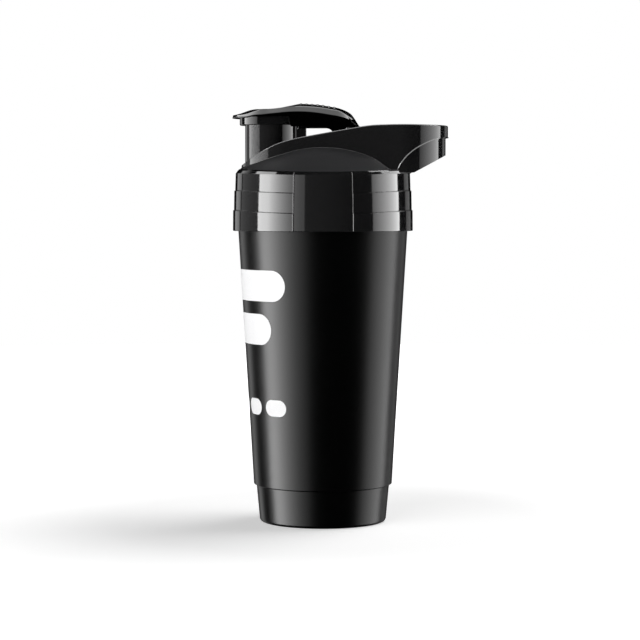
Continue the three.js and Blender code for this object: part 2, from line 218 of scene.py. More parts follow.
def bow(radius, z, from_side):
    """How far the lid's outer face is drawn down towards the two sides."""
    at_rim = 1.05
    up_wall = np.interp(z, (COLLAR_Z + 0.3, *RING_TOPS, COLLAR_TOP_Z), (0, 1, 1, 0.75, at_rim))
    share = np.where(radius < RIM_R, at_rim * smoothstep(RIM_R - 10, RIM_R, radius), up_wall)
    return BOW * share * np.cos(from_side) ** 2


def dome_face_z(x, y):
    """Height of the dome's outer face over a plan point, or of its rim beyond that."""
    reach = min(math.hypot(x, y), RIM_R)
    return float(lid_top_z(reach) - bow(reach, COLLAR_TOP_Z, math.atan2(abs(x), abs(y))))


def thread_height(theta, z, start_z):
    """Height of the screw thread's ridge over the surface it stands on."""
    height = np.zeros(np.broadcast(theta, z).shape)
    for turn in range(int(THREAD_TURNS) + 1):
        turns = theta / (2 * math.pi) + turn
        centre = start_z + THREAD_LEAD * turns
        ends = smoothstep(0, 0.04, turns) * smoothstep(THREAD_TURNS, THREAD_TURNS - 0.04, turns)
        flank = np.clip((1.3 - np.abs(z - centre)) / 0.7, 0, 1)
        height = np.maximum(height, THREAD_HEIGHT * flank * ends)
    return height


# ---------------------------- meshes


def surface(points, wrap_rows=False, wrap_cols=False):
    """Vertices and faces of a grid of points, joined round its rows or columns."""
    rows, cols = points.shape[:2]
    row_ids = np.arange(rows if wrap_rows else rows - 1)
    col_ids = np.arange(cols if wrap_cols else cols - 1)
    r, c = np.meshgrid(row_ids, col_ids, indexing="ij")
    r2, c2 = (r + 1) % rows, (c + 1) % cols
    quads = np.stack([r * cols + c, r * cols + c2, r2 * cols + c2, r2 * cols + c], -1)
    return points.reshape(-1, 3), quads.reshape(-1, 4).tolist()


def capped(points):
    """A tube of closed rows with a face over each end."""
    vertices, faces = surface(points, wrap_cols=True)
    rows, cols = points.shape[:2]
    faces.append(list(range(cols)))
    faces.append([(rows - 1) * cols + i for i in reversed(range(cols))])
    return vertices, faces


def turned(profile, thetas, change=None, centre_x=0.0):
    """Surface of revolution about Z; change(theta, radius, z) may return other radii and heights."""
    radius, theta = np.meshgrid(profile[:, 0], thetas, indexing="ij")
    z = np.repeat(profile[:, 1][:, None], len(thetas), 1)
    if change:
        radius, z = change(theta, radius, z)
    points = np.stack([centre_x + radius * np.cos(theta), radius * np.sin(theta), z], -1)
    closed = np.allclose(profile[0], profile[-1])
    return surface(points[:-1] if closed else points, wrap_rows=closed, wrap_cols=True)


def round_angles(count):
    return np.arange(count) * 2 * math.pi / count


def make_object(name, vertices, faces):
    mesh = bpy.data.meshes.new(name)
    mesh.from_pydata((np.asarray(vertices) * MM).tolist(), [], faces)
    work = bmesh.new()
    work.from_mesh(mesh)
    bmesh.ops.remove_doubles(work, verts=work.verts, dist=1e-6)
    bmesh.ops.dissolve_degenerate(work, edges=work.edges, dist=1e-7)
    bmesh.ops.recalc_face_normals(work, faces=work.faces)
    work.to_mesh(mesh)
    work.free()
    piece = bpy.data.objects.new(name, mesh)
    bpy.context.scene.collection.objects.link(piece)
    return piece


def apply_modifiers(piece):
    bpy.context.view_layer.update()
    shaped = piece.evaluated_get(bpy.context.evaluated_depsgraph_get())
    mesh = bpy.data.meshes.new_from_object(shaped)
    piece.modifiers.clear()
    piece.data = mesh


def combine(piece, operation, *tools):
    """Joins ("UNION") or cuts ("DIFFERENCE") the piece with other closed solids."""
    for tool in tools:
        change = piece.modifiers.new("combine", "BOOLEAN")
        change.operation = operation
        change.solver = "MANIFOLD"
        change.object = tool
        apply_modifiers(piece)
        bpy.data.objects.remove(tool)
    return piece


def shade(piece, sharp_degrees=32):
    """Smooth shading, with sharp edges kept and the large faces deciding the normals."""
    work = bmesh.new()
    work.from_mesh(piece.data)
    for face in work.faces:
        face.smooth = True
    for edge in work.edges:
        edge.smooth = edge.calc_face_angle(0) < math.radians(sharp_degrees)
    work.to_mesh(piece.data)
    work.free()
    weighted = piece.modifiers.new("weighted_normals", "WEIGHTED_NORMAL")
    weighted.keep_sharp = True
    weighted.weight = 100


def dress(piece, body, slot, materials, *stands_for):
    shade(piece)
    piece.data.materials.clear()
    for material in materials:
        piece.data.materials.append(material)
    piece.data.polygons.foreach_set("material_index", [0] * len(piece.data.polygons))
    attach(piece, body)
    if stands_for:
        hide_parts(*stands_for)
    return piece


def rod(name, radius, bottom, top, x=0.0, edge=0.3, steps=64):
    profile = filleted([(0, bottom, 0), (radius, bottom, 0), (radius, top, edge), (0, top, 0)])
    return make_object(name, *turned(profile, round_angles(steps), centre_x=x))


def block(name, low, high, edge=0.0):
    corners = np.array([low, high], float)
    ends = (0, 1)
    vertices = [[corners[i, 0], corners[j, 1], corners[k, 2]] for i in ends for j in ends for k in ends]
    faces = [[0, 1, 3, 2], [4, 6, 7, 5], [0, 4, 5, 1], [2, 3, 7, 6], [0, 2, 6, 4], [1, 5, 7, 3]]
    piece = make_object(name, vertices, faces)
    if edge:
        bevel = piece.modifiers.new("bevel", "BEVEL")
        bevel.width = edge * MM
        bevel.segments = 3
        apply_modifiers(piece)
    return piece


def vent_post(name, bottom, top):
    """The square post of the air vent, with rounded upright corners."""
    half = VENT_POST_HALF
    corners = [(half, -half, 0.6), (half, half, 0.6), (-half, half, 0.6), (-half, -half, 0.6)]
    outline = filleted(corners, closed=True) + (VENT_X, 0)
    rows = [np.insert(outline, 2, z, axis=1) for z in (bottom, top)]
    return make_object(name, *capped(np.array(rows)))


def hinge_rod(name, radius, from_y, to_y, edge=0.0):
    """A rod along Y on the hinge axis."""
    profile = filleted([(0, from_y, 0), (radius, from_y, edge), (radius, to_y, edge), (0, to_y, 0)])
    vertices, faces = turned(profile, round_angles(48))
    x, y, z = np.asarray(vertices).T
    return make_object(name, np.stack([hinge_x + x, z, hinge_z + y], -1), faces)


def wire(name, path, radius, sides):
    """Round wire along a path of points, carried along it without twist."""
    tangent = np.gradient(path, axis=0)
    tangent /= np.linalg.norm(tangent, axis=1)[:, None]
    side = np.cross(tangent[0], [0.3, 0.2, 1.0])
    rows = []
    for point, along in zip(path, tangent):
        side = side - (side @ along) * along
        side /= np.linalg.norm(side)
        other = np.cross(along, side)
        angle = round_angles(sides)[:, None]
        rows.append(point + radius * (np.cos(angle) * side + np.sin(angle) * other))
    return make_object(name, *capped(np.array(rows)))


# ---------------------------- materials


class Nodes:
    """Short names for building one node tree."""

    def __init__(self, tree):
        self.tree = tree

    def add(self, kind, **settings):
        node = self.tree.nodes.new(kind)
        for key, value in settings.items():
            setattr(node, key, value)
        return node

    def link(self, source, target):
        self.tree.links.new(source, target)

    def fill(self, socket, value):
        """Gives an input a fixed value or another node's output."""
        if isinstance(value, bpy.types.NodeSocket):
            self.link(value, socket)
        else:
            socket.default_value = value

    def maths(self, operation, *values):
        node = self.add("ShaderNodeMath", operation=operation)
        for socket, value in zip(node.inputs, values):
            self.fill(socket, value)
        return node.outputs[0]

    def ramp(self, value, from_low, from_high, to_low, to_high, kind="LINEAR"):
        node = self.add("ShaderNodeMapRange", interpolation_type=kind)
        self.fill(node.inputs["Value"], value)
        self.fill(node.inputs["From Min"], from_low)
        self.fill(node.inputs["From Max"], from_high)
        self.fill(node.inputs["To Min"], to_low)
        self.fill(node.inputs["To Max"], to_high)
        return node.outputs["Result"]


class Material(Nodes):
    """A Principled material with textures in the object's own coordinates."""

    def __init__(self, name, **values):
        self.material = bpy.data.materials.new(name)
        self.material.use_nodes = True
        super().__init__(self.material.node_tree)
        self.shader = self.tree.nodes["Principled BSDF"]
        self.place = self.add("ShaderNodeTexCoord").outputs["Object"]
        self.set(**values)

    def set(self, **values):
        for key, value in values.items():
            self.fill(self.shader.inputs[key.replace("_", " ")], value)

    def noise(self, scale, detail=4.0, stretch=(1, 1, 1)):
        mapping = self.add("ShaderNodeMapping")
        mapping.inputs["Scale"].default_value = stretch
        self.link(self.place, mapping.inputs["Vector"])
        texture = self.add("ShaderNodeTexNoise")
        texture.inputs["Scale"].default_value = scale
        texture.inputs["Detail"].default_value = detail
        self.link(mapping.outputs["Vector"], texture.inputs["Vector"])
        return texture.outputs["Fac"]

    def spread(self, noise, low, high):
        """Maps the middle of a noise to the range low to high."""
        return self.ramp(noise, 0.3, 0.7, low, high)

    def edge_wear(self):
        """Factor that rises on convex edges, broken up by noise."""
        pointiness = self.add("ShaderNodeNewGeometry").outputs["Pointiness"]
        worn = self.ramp(pointiness, 0.53, 0.62, 0, 1)
        return self.maths("MULTIPLY", worn, self.spread(self.noise(900), 0.1, 0.8))

    def colours(self, value, dark, light):
        node = self.add("ShaderNodeMix", data_type="RGBA")
        self.link(value, node.inputs["Factor"])
        node.inputs["A"].default_value = (*dark, 1)
        node.inputs["B"].default_value = (*light, 1)
        return node.outputs["Result"]

    def finished(self, colour, rough, height, distance, strength):
        """The material, with a colour, a roughness and a bump of the given height texture."""
        bump = self.add("ShaderNodeBump")
        bump.inputs["Distance"].default_value = distance
        bump.inputs["Strength"].default_value = strength
        self.link(height, bump.inputs["Height"])
        self.set(Base_Color=colour, Roughness=rough, Normal=bump.outputs["Normal"])
        return self.material


def grey(value):
    """A neutral colour with a trace of blue."""
    return (value, value, value * 1.04)


def satin_material():
    """Fine-grained satin black of the cup."""
    nodes = Material("cup_satin_black", Specular_IOR_Level=0.3)
    rough = nodes.spread(nodes.noise(22, 3), 0.28, 0.31)
    colour = nodes.colours(nodes.edge_wear(), grey(0.0006), grey(0.02))
    return nodes.finished(colour, rough, nodes.noise(5200, 2), 0.00002, 0.5)


def gloss_material():
    """Polished black moulding with the faint waviness of moulded plastic and hairline marks."""
    nodes = Material("lid_gloss_black")
    rough = nodes.spread(nodes.noise(700, 6, (1, 1, 6)), 0.05, 0.085)
    colour = nodes.colours(nodes.edge_wear(), grey(0.008), grey(0.02))
    return nodes.finished(colour, rough, nodes.noise(60, 2), 0.00006, 0.12)


def polished_material():
    """The flip cap is the deepest black of the lid's mouldings."""
    nodes = Material("cap_gloss_black", Specular_IOR_Level=0.2)
    rough = nodes.spread(nodes.noise(700, 6, (6, 1, 1)), 0.06, 0.1)
    colour = nodes.colours(nodes.edge_wear(), grey(0.0006), grey(0.01))
    return nodes.finished(colour, rough, nodes.noise(60, 2), 0.00006, 0.12)


def dome_material():
    """The lid's top is moulded with a fine satin texture."""
    nodes = Material("lid_satin_top", Specular_IOR_Level=0.03)
    grain = nodes.noise(6500, 2)
    rough = nodes.spread(nodes.noise(40, 3), 0.34, 0.4)
    colour = nodes.colours(nodes.spread(grain, 0, 1), grey(0.029), grey(0.035))
    return nodes.finished(colour, rough, grain, 0.00002, 0.5)


def moulded_material():
    """Plain black moulding of the pieces inside."""
    nodes = Material("inner_moulding")
    rough = nodes.spread(nodes.noise(300, 4), 0.33, 0.5)
    colour = nodes.colours(nodes.spread(nodes.noise(45), 0, 1), grey(0.022), grey(0.034))
    return nodes.finished(colour, rough, nodes.noise(3000, 2), 0.00002, 0.6)


def silicone_material():
    """Soft dark silicone of the seals."""
    nodes = Material("seal_silicone", Subsurface_Weight=0.05, Sheen_Weight=0.25)
    rough = nodes.spread(nodes.noise(500, 4), 0.55, 0.72)
    colour = nodes.colours(nodes.spread(nodes.noise(120), 0, 1), grey(0.012), grey(0.018))
    return nodes.finished(colour, rough, nodes.noise(2500, 3), 0.00003, 0.6)


def steel_material():
    """Drawn stainless steel: bright, with fine lines along the wire."""
    nodes = Material("stainless_wire", Metallic=1.0)
    lines = nodes.noise(1500, 4, (1, 1, 12))
    rough = nodes.spread(lines, 0.16, 0.3)
    colour = nodes.colours(nodes.spread(nodes.noise(160), 0, 1), (0.5, 0.5, 0.51), (0.66, 0.66, 0.67))
    return nodes.finished(colour, rough, lines, 0.00002, 0.5)


def ink_material():
    """White ink, a little uneven."""
    nodes = Material("print_white")
    rough = nodes.spread(nodes.noise(2500, 3), 0.4, 0.55)
    cover = nodes.spread(nodes.noise(1800, 4), 0, 1)
    colour = nodes.colours(cover, (0.84, 0.84, 0.85), (0.93, 0.93, 0.93))
    return nodes.finished(colour, rough, nodes.noise(4000, 2), 0.00001, 0.5)


SATIN = satin_material()
GLOSS = gloss_material()
CAP_GLOSS = polished_material()
DOME = dome_material()
MOULDED = moulded_material()
SILICONE = silicone_material()
STEEL = steel_material()
INK = ink_material()

# ---------------------------- cup


def cup_outer_radius(z):
    """Radius of the straight wall between the step and the shoulder."""
    low = STEP_Z + 1.4
    return STEP_R + (SHOULDER_R - STEP_R) * (z - low) / (SHOULDER_Z - low)


def cup():
    """Tapered cup with a ring sunk in its underside, a step above its foot and a threaded neck."""
    neck_bore = NECK_R - WALL
    ring_inner, ring_outer, ring_depth = FOOT_R - 9.3, FOOT_R - 3.9, 0.9
    profile = filleted([
        (0, 0, 0),
        (ring_inner, 0, 0.4),
        (ring_inner + 1, ring_depth, 0.4),
        (ring_outer - 1, ring_depth, 0.4),
        (ring_outer, 0, 0.4),
        (FOOT_R, 0, 1.9),
        (FOOT_R + 1.95, STEP_Z, 0.5),
        (STEP_R, STEP_Z, 0.5),
        (SHOULDER_R, NECK_FOOT_Z, 1.4),
        (NECK_R, NECK_FOOT_Z, 0.6),
        (NECK_R, RIM_Z, 0.9),
        (neck_bore, RIM_Z, 0.9),
        (neck_bore, SHOULDER_Z + WALL, 2),
        (SHOULDER_R - WALL, SHOULDER_Z - 4, 2),
        (STEP_R - WALL, STEP_Z + 2, 1),
        (STEP_R - WALL - 1.5, STEP_Z - 0.5, 1),
        (FOOT_R - WALL, FLOOR_Z, 6),
        (0, FLOOR_Z, 0),
    ], steps=6)
    profile = subdivided(profile, NECK_FOOT_Z + 0.9, RIM_Z, 0.4)

    def threaded(theta, radius, z):
        on_neck = (radius > NECK_R - 0.1) & (z > NECK_FOOT_Z + 0.5)
        return radius + on_neck * thread_height(theta, z, THREAD_START_Z), z

    piece = make_object("cup_skin", *turned(profile, round_angles(240), threaded))
    return dress(piece, "cup", "cup_satin_black", [SATIN], "cup")


def printed_bar(name, centre_angle, centre_z, half_angle, half_height):
    """One plain bar with round ends, printed on the cup's wall. Its centre angle is from the spout side."""
    steps = 48
    ink = 0.05
    radius = cup_outer_radius(centre_z)
    half_length = radius * half_angle
    end = min(half_height, half_length)
    columns = []
    for k in range(steps + 1):
        along = -math.cos(math.pi * k / steps) * half_length
        into_end = max(0.0, abs(along) - (half_length - end))
        half = half_height / end * math.sqrt(max(end * end - into_end * into_end, 1e-6))
        heights = np.linspace(centre_z - half, centre_z + half, 13)
        outline = [(z, ink) for z in heights] + [(z, -ink) for z in reversed(heights)]
        angle = math.pi + centre_angle + along / radius
        z, out = np.array(outline).T
        reach = cup_outer_radius(z) + out
        columns.append(np.stack([reach * math.cos(angle), reach * math.sin(angle), z], -1))
    piece = make_object(name, *capped(np.array(columns)))
    return dress(piece, "cup", "print_white", [INK])


def cup_print():
    """A plain print on the spout side: two bars over a row of dashes."""
    bar_half_height, dash_half_height = 8.5, 4.5
    dash_z = 66
    dash_pitch, dash_half_angle = math.radians(25.5), math.radians(10)
    pieces = [
        printed_bar("print_bar_upper", 0, 133, math.radians(63), bar_half_height),
        printed_bar("print_bar_lower", 0, 109, math.radians(50), bar_half_height),
    ]
    for k in range(5):
        angle = dash_pitch * (k - 2)
        pieces.append(printed_bar(f"print_dash_{k + 1}", angle, dash_z, dash_half_angle, dash_half_height))
    return pieces


# ---------------------------- lid


def collar_angles():
    """Even angles, with more of them at the edges of the two grip panels."""
    even = round_angles(300)
    near = np.radians(np.linspace(-0.8, 0.8, 17))
    edges = [side + PANEL_HALF_ANGLE * way for side in (math.pi / 2, 1.5 * math.pi) for way in (-1, 1)]
    keep = [a for a in even if min(abs(a - e) for e in edges) > math.radians(0.9)]
    return np.sort(np.concatenate([keep] + [e + near for e in edges]))


def lid_shape(theta, radius, z):
    """Bows the ring lines, raises the grip panels and cuts the inner thread."""
    from_side = np.abs(np.remainder(theta, math.pi) - math.pi / 2)
    outside = (radius > SHOULDER_R + 0.8) | (z > dome_z(radius) - 1.5)
    bowed = z - outside * bow(radius, z, from_side)
    blend = math.radians(0.35)
    on_panel = smoothstep(PANEL_HALF_ANGLE + blend, PANEL_HALF_ANGLE - blend, from_side)
    face = COLLAR_R + 0.1 - 1.25 * smoothstep(COLLAR_Z + 6, RING_TOPS[2] + 2, z)
    raised = np.where(z < RING_TOPS[2] + 0.1, np.maximum(radius, face), radius + 0.15)
    on_wall = (radius > RIM_R) & outside & (z > COLLAR_Z + 0.3)
    bead = 0.22 * np.exp(-((from_side - PANEL_HALF_ANGLE) / math.radians(0.3)) ** 2)
    radius = np.where(on_wall, radius + (raised - radius) * on_panel + bead, radius)
    on_bore = (np.abs(radius - COLLAR_BORE_R) < 0.1) & (z < LAND_Z - 1)
    ridge = thread_height(theta, z, THREAD_START_Z + THREAD_LEAD / 2)
    return radius - on_bore * ridge, bowed


def ring_line(radius, z):
    """Corners of the collar's outer face where one ring ends: a small step in, then a fine groove."""
    groove = 0.3
    return [
        (radius, z, 0.25),
        (radius - 0.5, z, 0.05),
        (radius - 0.65, z + groove / 2, 0.05),
        (radius - 0.5, z + groove, 0.05),
    ]


def lid_profile():
    counterbore_r, counterbore_z = SHOULDER_R + 0.5, SHOULDER_Z + WALL
    skirt_bore = SKIRT_R - WALL
    first, second, third = RING_TOPS
    under = [(r, dome_z(r) - WALL) for r in np.linspace(0, skirt_bore, 14)]
    collar = filleted([
        (*under[-1], 0),
        (skirt_bore, SKIRT_Z, 0.5),
        (SKIRT_R, SKIRT_Z, 0.5),
        (SKIRT_R, LAND_Z, 0.2),
        (COLLAR_BORE_R, LAND_Z, 0.2),
        (COLLAR_BORE_R, counterbore_z, 0.2),
        (counterbore_r, counterbore_z, 0.2),
        (counterbore_r, COLLAR_Z, 0.25),
        (COLLAR_R, COLLAR_Z, 0.4),
        *ring_line(COLLAR_R - 0.1, first),
        *ring_line(COLLAR_R - 0.8, second),
        (COLLAR_R - 1.6, third, 0.3),
        (COLLAR_R - 2.8, third + 1.6, 0.8),
        (RIM_R + 0.1, COLLAR_TOP_Z - 0.1, 0.2),
        (RIM_R - 0.05, lid_top_z(RIM_R), 0.1),
        (RIM_R - 1, lid_top_z(RIM_R - 1), 0),
    ], steps=5)
    collar = subdivided(collar, counterbore_z + 0.5, LAND_Z, 0.4)
    over = [(r, lid_top_z(r)) for r in np.linspace(RIM_R - 1.8, 0, 30)]
    return np.array(under[:-1] + collar.tolist() + over)


def hinge_pocket(name, grow, bottom):
    """The sunk floor round the hinge, as a solid to join or cut."""
    low = (hinge_x - 8 - grow, -POCKET_HALF_Y - grow, bottom)
    high = (hinge_x + 10 + grow, POCKET_HALF_Y + grow, DOME_TOP_Z + 4)
    return block(name, low, high)


def hinge_ear(side):
    """One of the two ears that hold the cap's pin."""
    near, far = sorted((side * EAR_INNER_Y, side * EAR_OUTER_Y))
    foot = block("foot", (hinge_x - EAR_R, near, POCKET_FLOOR_Z - 1), (hinge_x + 0.6, far, hinge_z))
    return combine(hinge_rod("ear", EAR_R, near, far, 0.3), "UNION", foot)


def below_dome(drop):
    """Solid that fills the space under the dome's outer face, less a drop."""
    profile = [(0, COLLAR_TOP_Z - 8)] + [(r, dome_z(r) - drop) for r in np.linspace(RIM_R, 0, 20)]
    return make_object("dome_core", *turned(np.array(profile), round_angles(120)))


def lid():
    """Collar, inner skirt, dome, vent post and hinge ears, open under the spout."""
    piece = make_object("lid_skin", *turned(lid_profile(), collar_angles(), lid_shape))
    boss = hinge_pocket("pocket_boss", 1.6, POCKET_FLOOR_Z - WALL)
    combine(boss, "INTERSECT", below_dome(0.8))
    post = vent_post("vent_post", DOME_TOP_Z - 6.3, VENT_TOP_Z)
    combine(post, "DIFFERENCE", below_dome(1))
    combine(piece, "UNION", boss, post)
    combine(piece, "DIFFERENCE", hinge_pocket("pocket", 0, POCKET_FLOOR_Z))
    combine(piece, "UNION", hinge_ear(-1))
    combine(piece, "UNION", hinge_ear(1))
    combine(
        piece, "DIFFERENCE",
        rod("spout_bore", SPOUT_BORE_R, RIM_Z, SPOUT_TOP_Z + 3, SPOUT_X, 0.3, 144),
        rod("vent_bore", 1.0, RIM_Z + 6, VENT_TOP_Z + 3, VENT_BORE_X),
        hinge_rod("pin_bore", PIN_R + 0.15, -CAP_HALF_Y, CAP_HALF_Y),
    )
    dress(piece, "lid", "lid_gloss_black", [GLOSS, DOME], "lid_shell")
    for face in piece.data.polygons:
        x, y, z = np.array(face.center) / MM
        on_dome = math.hypot(x, y) < RIM_R and abs(z - dome_face_z(x, y)) < 0.25
        face.material_index = int(on_dome and face.normal.z > 0.5)
    return piece


def spout():
    """The upright tube of the spout, from inside the dome to its rim."""
    tube = rod("spout_skin", SPOUT_R, RIM_Z + 6, SPOUT_TOP_Z, SPOUT_X, 0.8, 144)
    bore = rod("bore", SPOUT_BORE_R, RIM_Z, SPOUT_TOP_Z + 3, SPOUT_X, 0, 144)
    combine(tube, "DIFFERENCE", below_dome(1), bore)
    return dress(tube, "lid", "lid_gloss_black", [GLOSS])


# ---------------------------- carry loop


def oval(inset):
    """Plan points and outward normal angles of the carry loop's outer face, all the way round."""
    radius = LOOP_HALF_Y - inset
    front_reach = radius * LOOP_FRONT_REACH / LOOP_HALF_Y
    end_x = LOOP_END_X - inset - radius
    quarter = math.pi / 2
    straight = np.linspace(LOOP_FRONT_X, end_x, 50, endpoint=False)
    bend = np.linspace(-quarter, quarter, 150, endpoint=False)
    near_side = [(x, -radius, -quarter) for x in straight]
    end = [(end_x + radius * math.cos(a), radius * math.sin(a), a) for a in bend]
    far_side = [(LOOP_FRONT_X + end_x - x, radius, quarter) for x in straight]
    front = [(LOOP_FRONT_X - front_reach * math.cos(a), -radius * math.sin(a), a + math.pi) for a in bend]
    return near_side + end + far_side + front


wall_top = smooth_line([
    (-45.3, 199.2), (-43.6, 200.3), (-42.1, 201.6), (-37.8, 204.2), (-28.9, 209), (-12.5, 214), (-7, 215),
    (16, 219.1), (21.4, 220), (27, LOOP_TOP_Z - 0.3), (34, LOOP_TOP_Z), (LOOP_END_X, LOOP_TOP_Z),
])
seam = smooth_line([
    (LOOP_FREE_X, 195.2), (41.2, 197), (43.3, 200.5), (49, 206.4), (54.4, 209.8), (60, 212.3), (65, 213.6),
    (LOOP_END_X, 214.3),
])


def wall_bottom(x, y):
    """Where the upper shell stands on the dome, or its lip along the seam of the loop's free part."""
    return float(seam(x)) if x > LOOP_FREE_X else dome_face_z(x, y) - 0.1


def loop_underside(x):
    """Lower edge of the loop's free part: a straight rise from the collar's shoulder."""
    rise = (203.8 - 194.4) / (66.6 - 49)
    return max(194.4 + rise * (x - 49), COLLAR_TOP_Z - 2.3)


def band_width(angle):
    """Thickness of the loop's wall, which grows round the end."""
    return LOOP_BAND + (LOOP_END_BAND - LOOP_BAND) * max(0.0, math.cos(angle))


def loop_section(x, y, angle, inset, top, bottom_out, bottom_in, flare, steepness=1.0):
    """Points round one cross-section of a loop shell at a plan point. Its outer foot flares out by the
    given amount, into a lip that is taller where the shell's lower edge is steep."""
    width = band_width(angle) - inset
    edge = min(0.7, 0.3 * (top - bottom_out))
    outline = filleted([
        (flare, bottom_out, 0.05),
        (0, bottom_out + abs(flare) * steepness, 0.25),
        (0, top, edge),
        (-width, top, edge),
        (-width, bottom_in, 0.25),
    ], closed=True, steps=5)
    away = np.array([math.cos(angle), math.sin(angle)])
    return [[x + n * away[0], y + n * away[1], z] for n, z in outline]


def loop_upper():
    rows = []
    for x, y, angle in oval(0):
        free = x > LOOP_FREE_X
        width = band_width(angle)
        bottom = wall_bottom(x, y)
        inner = bottom if free else wall_bottom(x - width * math.cos(angle), y - width * math.sin(angle))
        top = float(wall_top(x))
        flare = 0.55 if free else 0.15
        steepness = math.hypot(1, float(seam(x + 0.2) - seam(x - 0.2)) / 0.4)
        low_out, low_in = min(bottom, top - 1.2), min(inner, top - 0.9)
        rows.append(loop_section(x, y, angle, 0, top, low_out, low_in, flare, steepness))
    piece = make_object("loop_upper_skin", *surface(np.array(rows), wrap_rows=True, wrap_cols=True))
    return dress(piece, "lid", "lid_gloss_black", [GLOSS], "loop_upper_shell")


def loop_lower():
    rows = []
    for x, y, angle in oval(SEAM_INSET):
        if x < LOOP_FREE_X + 1:
            continue
        top = float(seam(x)) + 1.4
        bottom = loop_underside(x)
        rows.append(loop_section(x, y, angle, SEAM_INSET, top, bottom, bottom + 0.1, 0.05))
    piece = make_object("loop_lower_skin", *capped(np.array(rows)))
    return dress(piece, "lid", "lid_gloss_black", [GLOSS], "loop_lower_shell")


# ---------------------------- flip cap

cap_crest = smooth_line([
    (CAP_NOSE_X, 228.2), (-48.4, 229), (-46.2, 229.5), (-42.8, 230.2), (-38.4, 230.5), (-33.9, 230.3),
    (-23.9, 230.9), (-18.3, 232.1), (-12.7, 233.2), (-7.2, 233), (-1.6, 232.6), (4, 231.7), (9.5, 230.6),
    (16.2, 227.1), (18.5, 224.7), (21, 221.2),
])
cap_shoulder = smooth_line([
    (CAP_NOSE_X, 226.9), (-42.3, 227.2), (-37.9, 228.5), (-33.5, 229.7), (-29.1, 229.9), (-23.6, 230.5),
    (-18.1, 231.2), (-12.6, 231.3), (3.9, 229.7), (9.4, 228.5), (12.7, 226.5), (16, 223.8), (21, 220.3),
])
cap_edge = smooth_line([
    (CAP_NOSE_X, 225.7), (-42.2, 225.8), (-37.8, 226.6), (-33.4, 226.9), (-29, 227.4), (-7.1, 228.2),
    (3.9, 226.7), (9.4, 225.7), (12.7, 224.7), (16, 222.8), (19, 220.3), (21, 219),
])


def cap_bottom(x):
    """Lower edge of the cap's side wall."""
    arm = 220.2 - 5.7 * smoothstep(1.5, 9.5, x) ** 1.6
    return CAP_PLATE_Z + (arm - CAP_PLATE_Z) * smoothstep(-19.5, -17.5, x)


def cap_outline():
    """Plan points of the cap: a round nose, sides that draw in to the arm and a square back."""
    nose_centre = CAP_SPINE[0]
    corner_r = 3
    half_width = smooth_line([
        (nose_centre, CAP_HALF_Y), (-22, 18.6), (-12, 17.6), (-4, 16.8), (8, 16.2), (21, 15.6),
    ])
    back_half = float(half_width(CAP_BACK_X - corner_r / 2))
    nose = [
        (nose_centre + (CAP_NOSE_X - nose_centre) * math.sin(a), CAP_HALF_Y * math.cos(a))
        for a in np.radians(np.linspace(90, 0, 46))[:-1]
    ]
    side = [(x, float(half_width(x))) for x in np.arange(nose_centre, CAP_BACK_X - corner_r, 0.4)]
    corner = [
        (CAP_BACK_X - corner_r * (1 - math.sin(a)), back_half - corner_r * (1 - math.cos(a)))
        for a in np.radians(np.linspace(10, 90, 9))
    ]
    back = [(CAP_BACK_X, y) for y in np.linspace(back_half - corner_r, 0, 12)[1:]]
    upper = nose + side + corner + back
    lower = [(x, -y) for x, y in reversed(upper[1:-1])]
    return np.array(upper + lower)


def cap_top_z(x, share, shoulder_at, y):
    """Height of the cap's top; share runs from the spine, 0, to the outline, 1."""
    crest, shoulder, edge = cap_crest(x), cap_shoulder(x), cap_edge(x)
    crown = shoulder + (crest - shoulder) * (1 - np.clip(share / shoulder_at, 0, 1) ** 2)
    fall = np.clip((share - shoulder_at) / (1 - shoulder_at), 0, 1)
    slope = shoulder + (edge - shoulder) * fall
    ribs = 0.3 * np.clip(np.cos((x + 12.2) * 2 * math.pi / 3.1), 0, 1) ** 0.7
    ribbed = smoothstep(-14, -13.4, x) * smoothstep(8, 7.4, x) * smoothstep(8.5, 7.5, np.abs(y))
    return np.where(share < shoulder_at, crown, slope) + ribs * ribbed


def cap_shell():
    """Rings of points from the crest out over the shoulder, down the side wall and back under the top."""
    outline = cap_outline()
    spine = np.stack([np.clip(outline[:, 0], *CAP_SPINE), np.zeros(len(outline))], -1)
    reach = np.linalg.norm(outline - spine, axis=1)
    sideways = np.abs(outline[:, 1]) / reach
    shoulder_at = 1 - (0.35 + 2.75 * sideways) / reach
    inner_share = 1 - CAP_WALL / reach

    def plan(share):
        return spine + (outline - spine) * np.reshape(share, (-1, 1))

    def top_z(share):
        x, y = plan(share).T
        return cap_top_z(x, share, shoulder_at, y)

    def ring(share, z):
        return np.column_stack([plan(share), z])

    shares = [part * shoulder_at for part in np.linspace(0, 1, 22)]
    shares += [shoulder_at + part * (0.985 - shoulder_at) for part in np.linspace(0.2, 1, 5)]
    rings = [ring(share, top_z(share)) for share in shares]
    edge = top_z(np.ones(len(outline)))
    low = np.minimum(cap_bottom(outline[:, 0]), edge - 0.6)
    wall_high, wall_low = edge - 0.35, low + 0.25
    rings += [ring(0.992, edge + 0.12), ring(1, edge - 0.12), ring(1, wall_high)]
    rings += [ring(1, wall_high + (wall_low - wall_high) * t) for t in (0.33, 0.66, 1)]
    rings += [ring(1 - 0.1 / reach, low + 0.07), ring(1 - 0.3 / reach, low)]
    rings += [ring(inner_share + 0.3 / reach, low), ring(inner_share, low + 0.3)]
    for part in np.linspace(1, 0, 16):
        share = part * inner_share
        ceiling = np.maximum(top_z(share) - CAP_WALL, low + 0.35 + 0.02 * (1 - part))
        rings.append(ring(share, ceiling))
    return make_object("flip_cap_skin", *surface(np.array(rings), wrap_cols=True))


